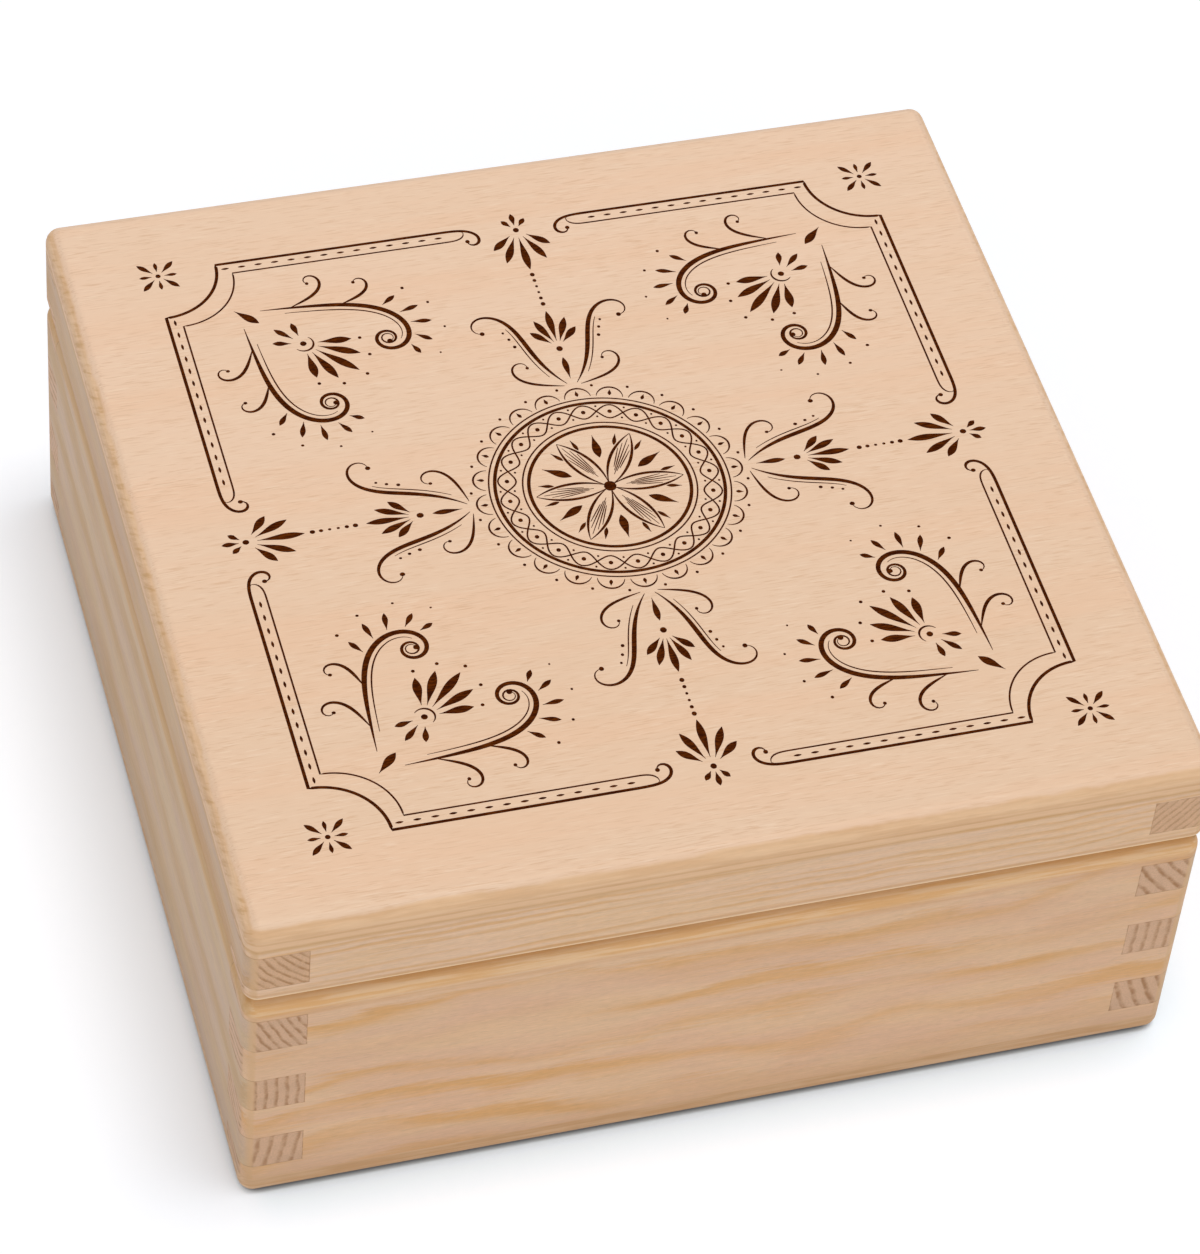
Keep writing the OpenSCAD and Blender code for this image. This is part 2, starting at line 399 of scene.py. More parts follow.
def rim_tones(g, wood, z, reach, streak, side):
    """Warm streaks on the base's rounded rim, paler and warmer partly as painted light and browner on
    the side faces partly as painted shade, a line below them, and painted shadow under the lid.
    """
    start = RIM - RIM_ROUND
    flat_top = HALF - RIM_ROUND
    on_base = z.below(PIN_Z)
    # The rim's pale, warm tone is partly painted light on a round that faces up; on the side faces it
    # turns browner, partly as painted shade.
    colour = g.mix(streak.rise(0.42, 0.58), RIM_PALE, RIM_WARM)
    colour = g.mix(side * 0.7, colour, RIM_SIDE)
    on_round = reach.rise(flat_top - 1.5, flat_top + 0.5)
    rim = z.rise(start - 1.0, start + 1.0) * on_base * on_round
    below = z.line(start - 1.1, 1.4) * streak.rise(0.35, 0.6, 0.1, 0.4)
    # Painted shadow of the lid on the rim, just under the lid
    lid_shadow = z.rise(RIM - 2.6, RIM - 1.3) * on_base
    lid_shadow = lid_shadow * reach.rise(flat_top, flat_top + 1.5)
    wood = g.mix(rim * 0.75, wood, colour)
    wood = g.mix(below * (1 - side * 0.6), wood, BELOW_RIM)
    return g.mix(lid_shadow * (side * 0.42 + 0.48), wood, LID_SHADOW)


def foot_tones(g, wood, z):
    """Painted shade: a little darker towards the floor, and brown on the rounded foot, which faces the
    floor.
    """
    low_shade = z.rise(2.0, 22.0, 1.0, 0.0)
    foot = z.rise(0.3, FOOT_ROUND + 6.0, 1.0, 0.0)
    # Painted shade: darker towards the floor, browner on the foot
    wood = g.shade(wood, 1 - low_shade * 0.1)
    return g.mix(foot * 0.6, wood, FOOT_SHADE)


def lid_tones(g, wood, z, outer, streak, side):
    """The lid frame's glue line, darkened by painted seam shadow, and its lower lip: a painted highlight
    with a darker line above it and a painted shadow below it.
    """
    seam = z.line(PANEL_LOW - 0.3, 1.0) * streak.rise(0.3, 0.6, 0.6, 1.0) * outer
    above = z.line(LID_LOW + 1.95, 0.7) * outer
    below = z.line(LID_LOW + 0.55, 0.4) * outer
    lip = z.line(LID_LOW + 1.1, 0.45) * outer
    # Glue line, darkened by painted seam shadow
    wood = g.mix(seam * 0.6, wood, GLUE_AND_SEAM_SHADOW)
    wood = g.mix(above * 0.45, wood, ABOVE_LIP)
    # Painted shadow under the lip, and a painted highlight on its arris
    wood = g.mix(below * 0.6, wood, LIP_SHADOW)
    return g.mix(lip * (0.9 - side * 0.7), wood, LIP_HIGHLIGHT)


def edge_tones(g, wood, along, across, z, side):
    """The rounded edges show other layers of the wood than the flat faces, and painted light and shade.

    side is 1 on the faces to the left and right, whose edges are browner, partly as painted shade.
    """
    reach = across.abs().larger(along.abs())
    outer = reach.above(INNER + 1)
    streak = g.noise(along * 0.04, across * 0.9, z * 1.1, detail=3.5, roughness=0.6)
    wood = rim_tones(g, wood, z, reach, streak, side)
    wood = foot_tones(g, wood, z)
    return lid_tones(g, wood, z, outer, streak, side)


def pine(name, along_x, middle, growth, tones, fingers, first):
    """Solid pine for boards along X or along Y, whose middle is at middle across the grain.

    fingers gives the end grain of its fingers from the lowest up; first is 0 for boards that
    have the lowest full finger of the comb joints, and 1 for those whose fingers lie between.
    """
    g = new_graph(name)
    x, y, z = g.place()
    along, across = (x, y) if along_x else (y, x)
    nx, ny, _ = g.facing()
    end = (nx if along_x else ny).abs().rise(0.86, 0.97)
    arris = nx.abs().rise(0.12, 0.35) * ny.abs().rise(0.6, 0.9)

    flat, flat_height = long_grain(g, along, across, z, growth, tones)
    cut, cut_height = end_grain(g, along, across, z, middle, fingers, first, tones)
    wood = g.mix(arris * 0.7, g.mix(end, flat, cut), UPRIGHT_CORNER)
    wood = edge_tones(g, wood, along, across, z, nx.abs().rise(0.4, 0.8))
    lines = joint_lines(g, x, y, z)
    wood = g.mix(lines * 0.65, wood, JOINT_LINE)
    height = flat_height * (1 - end) + cut_height * end - lines * 0.8
    rough = flat_height.rise(0.1, 0.6, 0.5, 0.66)
    return g.surface(wood, rough, height, 0.06, Specular_IOR_Level=0.35)


# ---------------------------------------------------------------- plywood panels

# A panel: height of its top, how far its face veneer shows down its edge (below 0 for not at
# all), and the two tones that its core's layers run between.
Panel = namedtuple("Panel", "top veneer core_light core_dark")


def panel_face(g, x, y, z):
    """Face veneer: short flecks along X in loose groups, and broad soft clouds.

    Returns the colour and the dark flecks, before and after they are grouped.
    """
    group = g.noise(x * 0.03, y * 0.06, 2.0).rise(0.3, 0.6, 0.5, 1.0)
    dark = g.noise(x * 0.2, y * 3.3, z * 3.0, detail=1.5, roughness=0.45).rise(0.54, 0.7)
    light = g.noise(x * 0.18 + 17, y * 3.1, z * 3.0, detail=1.5).rise(0.54, 0.72)
    fine = g.noise(x * 0.12, y * 1.6, 6.0, detail=3.0) - 0.5
    band = g.noise(x * 0.006, y * 0.09, 4.0, detail=3.0)
    cloud = g.noise(x * 0.02, y * 0.035, 8.0)
    flecks = dark * group
    face = g.mix(y.rise(-70.0, 60.0), FACE, FACE_TO_BACK)
    face = g.mix(cloud.rise(0.35, 0.65) * 0.6, face, FACE_CLOUD)
    face = g.mix(band.rise(0.4, 0.7) * 0.5, face, FACE_BAND)
    face = g.mix(flecks * 0.6, face, FACE_FLECK)
    face = g.mix(light * group * 0.5, face, FACE_GLINT)
    return g.shade(face, fine * 0.05 + 1.0), dark, flecks


def panel_edge(g, x, y, z, grain_end, mottle, fibre, panel):
    """Edge: streaky core, slanting flecks at the grain's ends, glue line, pale back ply, and an amber
    band below the veneer that is partly painted shade.
    """
    layer = g.noise(x * 0.03, y * 0.03, z * 1.1, detail=3.5, roughness=0.6)
    fleck = g.noise(y * 0.5 + z * 0.7, (y - z) * 0.12, 9.0, detail=3.0, roughness=0.6)
    edge = g.mix((layer + mottle * 0.5).rise(0.6, 0.9), panel.core_light, panel.core_dark)
    edge = g.mix(fleck.rise(0.5, 0.66) * grain_end * 0.6, edge, CORE_FLECK)
    edge = g.mix(fleck.rise(0.36, 0.48, 1.0, 0.0) * grain_end * 0.4, edge, CORE_GLINT)
    above_ply = z - (panel.top - PANEL_T) - BACK_PLY + (mottle - 0.5) * 0.4
    back_ply = above_ply.rise(-0.15, 0.1, 1.0, 0.0) * (0.8 - grain_end * 0.5)
    # Amber band under the veneer: partly the core's tone, partly painted shade on the round
    below_veneer = z.line(panel.top - 0.95, 0.8) * (0.25 - grain_end * 0.25)
    edge = g.mix(above_ply.line(0.3, 0.5) * 0.4, edge, PLY_GLUE)
    edge = g.mix(back_ply, edge, PALE_PLY)
    edge = g.mix(below_veneer, edge, BELOW_VENEER)
    return g.shade(edge, (fibre - 0.5) * 0.16 + 1.0)


def panel_wood(name, panel):
    """Plywood panel: veneered faces, an edge of layers with painted shade on its top round, and a darker
    line where it is glued on, partly glue and partly painted seam shadow.
    """
    g = new_graph(name)
    x, y, z = g.place()
    nx, _, nz = g.facing()
    flat = nz.abs().above(0.9)
    grain_end = nx.abs().rise(0.3, 0.7)
    mottle = g.noise(x * 0.09, y * 0.09, z * 0.5)
    fibre = g.noise(x * 0.3, y * 0.3, z * 3.0, detail=3.0)

    face, dark, flecks = panel_face(g, x, y, z)
    edge = panel_edge(g, x, y, z, grain_end, mottle, fibre, panel)
    worn = g.noise(x * 0.08, y * 0.08, 1.0, detail=3.5, roughness=0.6) - 0.5
    veneer_low = panel.top - panel.veneer
    on_face = (z + worn * 1.7).rise(veneer_low - 0.45, veneer_low + 0.25)
    wood = g.mix(on_face.larger(flat), edge, face)
    # Painted shade on the start of the top's round, which would catch more light than the flat face
    rounded = z.rise(panel.top - 0.25, panel.top - 0.02, 1.0, 0.0)
    rounded = rounded * z.rise(panel.top - 3.5, panel.top - 1.8)
    wood = g.shade(wood, 1 - rounded * 0.05)
    # Glue line on the panel's edge, darkened by painted seam shadow
    seam = z.line(PANEL_LOW, 0.8) * mottle.rise(0.35, 0.6, 0.6, 1.0) * (1 - flat)
    wood = g.mix(seam * 0.6, wood, GLUE_AND_SEAM_SHADOW)
    height = fibre * 0.15 - flecks * 0.5
    rough = dark.rise(0.0, 1.0, 0.48, 0.58)
    return g.surface(wood, rough, height, 0.03, Specular_IOR_Level=0.25)


def burnt_wood(name):
    """The grooves' charred wood: dark brown, a little lighter where the grain resists."""
    g = new_graph(name)
    x, y, z = g.place()
    grain = g.noise(x * 0.35, y * 2.6, z, detail=3.0, roughness=0.6)
    soot = g.noise(x * 1.4, y * 1.4, z)
    colour = g.mix(grain.rise(0.35, 0.7), CHAR_DARK, CHAR_LIGHT)
    colour = g.shade(colour, soot.rise(0.3, 0.7, 0.85, 1.12))
    rough = grain.rise(0.3, 0.7, 0.62, 0.8)
    return g.surface(colour, rough, grain, 0.03, Specular_IOR_Level=0.02)


# ---------------------------------------------------------------- metal


def from_screw(x, y):
    """Distance from the axis of the nearest hinge screw."""
    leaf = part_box("right_hinge_base_leaf")
    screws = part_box("base_hinge_screws")
    hinge_x = (leaf[LOW].x + leaf[HIGH].x) / 2 / MM
    screw_x = screws[HIGH].x / MM - SCREW_HEAD - hinge_x
    screw_y = (screws[LOW].y + screws[HIGH].y) / 2 / MM
    aside = (x.abs() - hinge_x).abs() - screw_x
    ahead = y - screw_y
    return (aside * aside + ahead * ahead).sqrt()


def round_screws(x, y, z):
    """Dirt and painted shade on a leaf: a dark ring round each screw, at the edge of its seat."""
    return from_screw(x, y).line(SCREW_HEAD + 0.05, 0.35) * 0.8


def on_screws(x, y, z):
    """Dirt and painted shade on a screw: in its slot and at its head's edge."""
    slot = (z - PIN_Z).abs().above(0.4)
    return slot.larger(from_screw(x, y).rise(SCREW_HEAD - 0.3, SCREW_HEAD))


def brushed_metal(name, base, shadow, rough, worn, dirt_and_shade=None):
    """Metal with fine brush lines along X, dulled in patches and polished where it is rubbed.

    Its roughness goes from rough, where it is polished, up by worn. dirt(x, y, z) gives the
    The function given last, of x, y and z, gives the places that dirt and painted shade darken.
    """
    g = new_graph(name)
    x, y, z = g.place()
    brush = g.noise(x * 0.25, y * 9.0, z * 9.0, detail=3.0, roughness=0.65)
    dull = g.noise(x * 0.35, y * 0.35, z * 0.35, detail=3.0)
    pits = g.noise(x * 5.0, y * 5.0, z * 5.0, detail=1.0).rise(0.68, 0.8)
    colour = g.mix(dull.rise(0.35, 0.7), base, shadow)
    colour = g.shade(colour, (brush - 0.5) * 0.18 + 1.0 - pits * 0.25)
    if dirt_and_shade:
        # Dirt and painted shade in the slots and round the seats
        colour = g.mix(dirt_and_shade(x, y, z) * 0.85, colour, METAL_DIRT_AND_SHADE)
    roughness = dull.rise(0.3, 0.7, rough, rough + worn) + (brush - 0.5) * 0.12
    return g.surface(colour, roughness, brush * 0.5 - pits, 0.01, Metallic=1.0)


# ---------------------------------------------------------------- strokes of the ornament


def toward(degrees, length=1.0):
    """A vector of this length in a direction counted from +X."""
    angle = math.radians(degrees)
    return Vector((math.cos(angle), math.sin(angle))) * length


class Ornament:
    """Collects strokes, in millimetres on the lid's top, x to the right and y to the back."""

    def __init__(self):
        self.points = []
        self.faces = []

    def stroke(self, line, width):
        """A groove along line; width(t) is its breadth at t, from 0 at its start to 1."""
        base = len(self.points)
        last = len(line) - 1
        for i, point in enumerate(line):
            ahead = (line[min(i + 1, last)] - line[max(i - 1, 0)]).normalized()
            aside = Vector((-ahead.y, ahead.x)) * width(i / last) / 2
            self.points += [point + aside, point, point - aside]
        for start in range(base, base + 3 * last, 3):
            for left in (start, start + 1):
                self.faces.append([left, left + 1, left + 4, left + 3])

    def dot(self, centre, radius):
        """A round spot."""
        self.stroke(spot(centre, radius), disc(radius))

    def dots(self, centre, radius):
        """A round spot and its mirror images."""
        self.mirrored(spot(centre, radius), disc(radius))

    def mirrored(self, line, width):
        """The stroke and its mirror images on all eight sides of the lid's axes."""
        drawn = set()
        for swapped in (False, True):
            for sx in (1, -1):
                for sy in (1, -1):
                    copy = [Vector((p.x * sx, p.y * sy)) for p in line]
                    copy = [p.yx for p in copy] if swapped else copy
                    places = frozenset((round(p.x, 2), round(p.y, 2)) for p in copy)
                    if places not in drawn:
                        self.stroke(copy, width)
                    drawn.add(places)


def even(breadth):
    """A stroke of one breadth throughout."""
    return lambda t: breadth


def from_tip(breadth):
    """A stroke that reaches its breadth soon after its pointed start."""
    return lambda t: breadth * min(1.0, 0.25 + 8 * t)


def brush(breadth, fullest=0.4):
    """A stroke that swells to its full breadth and thins again."""
    def width(t):
        share = t / fullest if t < fullest else (1 - t) / (1 - fullest)
        return 0.16 + (breadth - 0.16) * math.sin(share * math.pi / 2)
    return width


def drop(breadth):
    """A drop: from a point to its full breadth near the far end."""
    return lambda t: 0.1 + breadth * math.sin(math.pi * t ** 1.5)


def disc(radius):
    """A round spot, drawn as a stroke as long as it is wide."""
    return lambda t: 0.05 + 2 * radius * math.sqrt(max(0.0, 1 - (2 * t - 1) ** 2))


def curl(start, heading, length, first, last, power=3.0, step=0.7):
    """A curve whose curvature (per mm) goes from first to last along its length."""
    count = max(6, round(length / step))
    point, angle = Vector(start), heading
    line = [point.copy()]
    for i in range(count):
        bend = first + (last - first) * ((i + 0.5) / count) ** power
        turn = math.degrees(bend * length / count)
        point += toward(angle + turn / 2, length / count)
        angle += turn
        line.append(point.copy())
    return line


def branch(line, share, turn, length, first, last, power=3.0):
    """A curl that leaves another at a share of its length, turned from its direction."""
    i = round(share * (len(line) - 2))
    ahead = line[i + 1] - line[i]
    heading = math.degrees(math.atan2(ahead.y, ahead.x)) + turn
    return curl(line[i], heading, length, first, last, power)


def arc(centre, radius, start, end, step=0.8):
    """Part of a circle between two angles in degrees."""
    count = max(6, round(abs(math.radians(end - start)) * radius / step))
    return [Vector(centre) + toward(start + (end - start) * i / count, radius) for i in range(count + 1)]


def straight(start, end, step=2.0):
    """A straight line in pieces of about this step."""
    start, end = Vector(start), Vector(end)
    count = max(2, round((end - start).length / step))
    return [start.lerp(end, i / count) for i in range(count + 1)]


def beside(line, distance, start, end):
    """A copy of part of a line, moved to its left by distance; start and end are shares."""
    last = len(line) - 1
    moved = []
    for i in range(round(start * last), round(end * last) + 1):
        ahead = (line[min(i + 1, last)] - line[max(i - 1, 0)]).normalized()
        moved.append(line[i] + Vector((-ahead.y, ahead.x)) * distance)
    return moved


def spot(centre, radius):
    """The line of a round spot; disc gives its breadth."""
    side = Vector((radius, 0))
    return straight(Vector(centre) - side, Vector(centre) + side, radius / 4)


def ray(centre, heading, inner, outer, step=0.6):
    """A straight line away from a centre, from one distance to another."""
    return straight(centre + toward(heading, inner), centre + toward(heading, outer), step)


# ---------------------------------------------------------------- the ornament itself

# Half the length of the border's sides, the distance between its two lines, the radius of
# its hollow corners and half the gap in the middle of each side
BORDER = 88.0
LINE_GAP = 3.4
HOLLOW = 15.0
SIDE_GAP = 18.0
ORIGIN = Vector((0, 0))

# A border line: distance inside the outer line, breadth, and the length and the tightest
# curvature of the volute at its end
BorderLine = namedtuple("BorderLine", "inset breadth volute curvature")
BORDER_LINES = (BorderLine(0.0, 0.8, 15.2, 0.95), BorderLine(LINE_GAP, 0.45, 7, -0.9))


def border(ornament):
    """Double line round the lid: hollow corners, volutes at the gaps, lozenges between."""
    for inset, breadth, length, turn in BORDER_LINES:
        edge = BORDER - inset
        volute = curl((SIDE_GAP, edge), 180, length, 0.01 * turn, turn, 2.0)
        side = straight((SIDE_GAP, edge), (edge - HOLLOW, edge), 4.0)
        hollow = arc((edge, edge), HOLLOW, 180, 226)
        ornament.mirrored(volute[::-1] + side[1:] + hollow[1:], from_tip(breadth))
        ornament.dots(volute[-1], breadth * 0.7)
    pitch = 4.0
    half_length = 0.9
    middle = BORDER - LINE_GAP / 2
    for i in range(14):
        x = SIDE_GAP + 1.0 + pitch * i
        lozenge = straight((x - half_length, middle), (x + half_length, middle), 0.3)
        ornament.mirrored(lozenge, brush(0.65, 0.5))


def palmette(ornament, base, heading, lengths, spread, gap, breadth):
    """A fan of drops: lengths runs from its middle outwards."""
    for i, length in enumerate(lengths):
        for side in (1, -1) if i else (1,):
            way = heading + side * spread * i
            ornament.mirrored(ray(base, way, gap, gap + length), drop(breadth))


def scroll(ornament, line, breadth, eye):
    """A scroll that ends in a round eye of this radius."""
    ornament.mirrored(line, brush(breadth))
    ornament.dots(line[-1], eye)


def beads(ornament, line, distance, places, radius):
    """A row of spots beside a line, each a little smaller than the one before."""
    for i, share in enumerate(places):
        ornament.dots(beside(line, distance, share, share)[0], radius * (1 - 0.13 * i))


def fading_dots(ornament, start, step):
    """Three spots on the lid's axis, each smaller than the one before."""
    for i, radius in enumerate((0.6, 0.48, 0.36)):
        ornament.dots((0, start + step * i), radius)


def plume(ornament, line, places, turn, lengths, breadth):
    """Drops that stand beside a line at some shares of it, turned from its direction."""
    for share, length in zip(places, lengths):
        i = round(share * (len(line) - 2))
        ahead = line[i + 1] - line[i]
        heading = math.degrees(math.atan2(ahead.y, ahead.x)) + turn
        ornament.mirrored(ray(line[i], heading, 1.5, 1.5 + length), drop(breadth))


def corner(ornament):
    """Two volutes that run from each hollow corner along the sides, and a palmette between."""
    root = BORDER - LINE_GAP - HOLLOW * math.sqrt(0.5) - 3.0
    start = Vector((root - 5.0, root))
    main = curl(start, 183, 70, 0.002, 0.86, 2.9)
    scroll(ornament, main, 1.35, 0.7)
    ornament.mirrored(beside(main, 1.6, 0.08, 0.6), brush(0.4, 0.5))
    plume(ornament, main, (0.4, 0.46, 0.515, 0.565, 0.61), -68, (4.4, 5.0, 5.0, 4.4, 3.6), 1.25)
    beads(ornament, main, -8.6, (0.43, 0.49, 0.545, 0.6), 0.42)
    for share, turn, length in ((0.1, -26, 19), (0.27, -30, 15)):
        scroll(ornament, branch(main, share, turn, length, -0.01, -0.95, 2.4), 0.85, 0.45)
    ornament.mirrored(ray(Vector((root, root)), 225, -1.5, 5.5), drop(2.0))

    base = Vector((root - 12.5, root - 12.5))
    palmette(ornament, base, 225, (12.0, 10.2, 8.0), 21, 3.4, 2.0)
    palmette(ornament, base, 45, (5.4, 4.4), 34, 2.8, 1.4)
    ornament.mirrored(arc(base, 2.4, 128, 322, 0.5), brush(0.55, 0.5))
    ornament.dots(base, 0.75)
    for turn, out in ((0, 17.6), (21, 15.8), (-21, 15.8), (42, 13.4), (-42, 13.4)):
        ornament.dots(base + toward(225 + turn, out), 0.42)


def corner_star(ornament):
    """A small star of eight drops outside each hollow corner."""
    middle = Vector((BORDER - 1.0, BORDER - 1.0))
    for i in range(8):
        length = 4.6 if i % 2 else 3.0
        ornament.mirrored(ray(middle, 45 * i, 1.5, 1.5 + length), drop(1.25 if i % 2 else 0.9))
    ornament.dots(middle, 0.6)


def side_motif(ornament):
    """A palmette in the gap of each side's border line."""
    base = Vector((0, BORDER - 2.6))
    palmette(ornament, base, 270, (11.0, 9.0, 6.5), 25, 2.6, 1.8)
    palmette(ornament, base, 90, (4.0, 3.0), 38, 1.6, 1.3)
    ornament.dots(base, 0.75)
    fading_dots(ornament, BORDER - 18.0, -2.0)


# Radius of the rosette, the two radii of the interlaced band round it, and the band's links
ROSETTE = 17.5
BAND_IN = ROSETTE + 3.4
BAND_OUT = ROSETTE + 9.0
LOBES = 24


def rings(ornament, radii, breadth):
    """Closed circles, each as two halves that overlap a little."""
    for radius in radii:
        for start in (0, 180):
            ornament.stroke(arc(ORIGIN, radius, start - 2, start + 182), even(breadth))


def rosette(ornament):
    """Six-petal compass rosette with a drop in each petal and hatching between them."""
    for k in range(6):
        angle = 60 * k
        for start, end in ((120, 176.5), (183.5, 240)):
            petal = arc(toward(angle, ROSETTE), ROSETTE, angle + start, angle + end)
            ornament.stroke(petal, brush(0.75, 0.5))
        for turn in (-6.6, -3.3, 0, 3.3, 6.6):
            inner = 0.22 + abs(turn) * 0.02
            outer = 0.9 - abs(turn) * 0.03
            ornament.stroke(ray(ORIGIN, angle + turn, ROSETTE * inner, ROSETTE * outer), brush(0.3))
        ornament.stroke(ray(ORIGIN, angle + 30, ROSETTE * 0.93, ROSETTE * 0.52), drop(2.0))
        for turn in (-11, 11):
            small = ray(ORIGIN, angle + turn, ROSETTE * 0.95, ROSETTE * 0.74)
            ornament.stroke(small, drop(0.9))
    ornament.dot(ORIGIN, 1.5)


def interlaced_band(ornament):
    """Two waves that cross in a chain round the rosette, with a spot in every link."""
    middle, reach = (BAND_IN + BAND_OUT) / 2, (BAND_OUT - BAND_IN) / 2 - 0.7
    count = LOBES * 9
    for side in (1, -1):
        for half in (0, 1):
            line = []
            for i in range(count // 2 + 1):
                angle = 360 * (i / count + half / 2)
                wave = math.cos(math.radians(angle * LOBES / 2))
                line.append(toward(angle, middle + side * reach * wave))
            ornament.stroke(line, even(0.42))
    for k in range(LOBES):
        angle = 360 / LOBES * k
        ornament.dot(toward(angle, middle), 0.55)
        for out in (0.78 * reach, -0.78 * reach):
            ornament.dot(toward(angle + 180 / LOBES, middle + out), 0.28)


def fringe(ornament):
    """Small arches and spots outside the band."""
    for k in range(LOBES):
        angle = 360 / LOBES * k
        arch = arc(toward(angle, BAND_OUT + 1.9), 3.1, angle - 88, angle + 88, 0.6)
        ornament.stroke(arch, brush(0.5, 0.5))
        ornament.stroke(ray(ORIGIN, angle, BAND_OUT + 4.2, BAND_OUT + 2.4, 0.3), drop(0.8))
        ornament.dot(toward(angle + 180 / LOBES, BAND_OUT + 5.6), 0.38)


def finials(ornament):
    """Lyre-shaped scrolls that stand on the four sides of the medallion."""
    foot = BAND_OUT + 7.0
    lyre = curl((1.2, foot), 52, 38, 0.034, -0.56, 3.2)
    scroll(ornament, lyre, 1.15, 0.6)
    ornament.mirrored(beside(lyre, -1.3, 0.12, 0.6), brush(0.32, 0.5))
    scroll(ornament, curl((2.0, foot - 0.6), 12, 20, 0.01, 0.78, 2.4), 0.75, 0.42)
    beads(ornament, lyre, -2.6, (0.42, 0.5, 0.58), 0.45)
    palmette(ornament, Vector((0, foot + 12.0)), 90, (10.0, 8.0, 6.0), 22, 2.0, 1.7)
    ornament.mirrored(ray(Vector((0, foot)), 90, 1.5, 8.5), drop(1.4))
    ornament.dots((0, foot + 11.4), 0.8)
    fading_dots(ornament, foot + 26.5, 2.0)


def lid_ornament():
    ornament = Ornament()
    border(ornament)
    corner(ornament)
    corner_star(ornament)
    side_motif(ornament)
    rosette(ornament)
    rings(ornament, (ROSETTE + 1.2, BAND_OUT), 0.85)
    rings(ornament, (ROSETTE + 2.6, BAND_OUT + 1.4), 0.4)
    interlaced_band(ornament)
    fringe(ornament)
    finials(ornament)
    return ornament


# ---------------------------------------------------------------- engraved lid panel

GROOVE_DEPTH = 0.22
GROOVE_SLOPE = 0.6
SAME_PLACE = 1e-7  # metres


class PanelBuilder:
    """Gathers faces that share corners, each with a material and its corner normals."""

    def __init__(self):
        self.index = {}
        self.points = []
        self.faces = []
        self.slots = []
        self.normals = []

    def corner(self, point):
        key = tuple(round(c / SAME_PLACE) for c in point)
        if key not in self.index:
            self.index[key] = len(self.points)
            self.points.append(tuple(point))
        return self.index[key]

    def face(self, corners, normals, slot):
        indices = [self.corner(p) for p in corners]
        if len(set(indices)) < len(indices):
            return
        self.faces.append(indices)
        self.slots.append(slot)
        self.normals += [tuple(n) for n in normals]

    def object(self, name, materials):
        mesh = bpy.data.meshes.new(name)
        mesh.from_pydata(self.points, [], self.faces)
        for material in materials:
            mesh.materials.append(material)
        for polygon, slot in zip(mesh.polygons, self.slots):
            polygon.material_index = slot
            polygon.use_smooth = True
        mesh.normals_split_custom_set(self.normals)
        made = bpy.data.objects.new(name, mesh)
        bpy.context.scene.collection.objects.link(made)
        return made


def loop_of(edges):
    """The points of a closed outline, in order, from its edges."""
    following = dict(edges)
    start = edges[0][0]
    order = [start]
    while following[order[-1]] != start:
        order.append(following[order[-1]])
    return order


def copy_sides(builder, source):
    """Copies a panel's faces except its flat top, and returns the top's outline."""
    mesh = source.data
    top = max(v.co.z for v in mesh.vertices)
    sides = set()
    for polygon in mesh.polygons:
        corners = [mesh.vertices[i].co for i in polygon.vertices]
        if all(top - p.z < SAME_PLACE * 10 for p in corners):
            continue
        normals = [mesh.corner_normals[i].vector for i in polygon.loop_indices]
        builder.face(corners, normals, 0)
        indices = [builder.corner(p) for p in corners]
        sides |= set(zip(indices, indices[1:] + indices[:1]))
    open_edges = [(b, a) for a, b in sides if (b, a) not in sides]
    return [Vector(builder.points[i]) for i in loop_of(open_edges)]


def groove_depths(points, faces, burnt):
    """Depth of each point of the top: 0 on the surface, deeper in the middle of a groove."""
    in_groove, on_surface = set(), set()
    for corners, is_burnt in zip(faces, burnt):
        (in_groove if is_burnt else on_surface).update(corners)
    edge = in_groove & on_surface
    tree = KDTree(len(edge))
    for i in edge:
        tree.insert((*points[i], 0.0), i)
    tree.balance()
    depths = [0.0] * len(points)
    for i in in_groove - on_surface:
        distance = tree.find((*points[i], 0.0))[2]
        depths[i] = min(GROOVE_DEPTH, GROOVE_SLOPE * distance)
    return depths


def engraved_panel(materials):
    """The lid panel with the ornament cut into its top as shallow V-shaped grooves."""
    builder = PanelBuilder()
    outline = copy_sides(builder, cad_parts["lid_top_panel"])
    top = outline[0].z
    ornament = lid_ornament()
    points = [p.xy / MM for p in outline] + ornament.points
    first = len(outline)
    faces = [list(range(first))]
    faces += [[first + i for i in corners] for corners in ornament.faces]
    inside_faces = 1
    points, _, faces, _, _, origins = delaunay_2d_cdt(points, [], faces, inside_faces, 1e-4)
    burnt = [len(origin) > 1 for origin in origins]
    depths = groove_depths(points, faces, burnt)
    places = [Vector((*(p * MM), top - d * MM)) for p, d in zip(points, depths)]
    for corners, is_burnt in zip(faces, burnt):
        spots = [places[i] for i in corners]
        normal = (spots[1] - spots[0]).cross(spots[2] - spots[0])
        if normal.z < 0:
            spots.reverse()
            normal.negate()
        if normal.length > 0:
            builder.face(spots, [normal.normalized()] * 3, int(is_burnt))
    panel = builder.object("engraved_lid_panel", materials)
    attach(panel, "lid")
    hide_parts("lid_top_panel")
    return panel


# ---------------------------------------------------------------- the object

BASE_TONES = Tones(
    early=tone(233, 194, 156),
    late=tone(225, 173, 115),
    pink=tone(229, 187, 153),
    end_base=tone(219, 179, 145),
    end_line=tone(176, 129, 88),
)
RAIL_TONES = Tones(
    early=tone(237, 199, 160),
    late=tone(227, 180, 130),
    pink=tone(236, 199, 166),
    end_base=tone(220, 180, 144),
    end_line=tone(178, 131, 88),
)
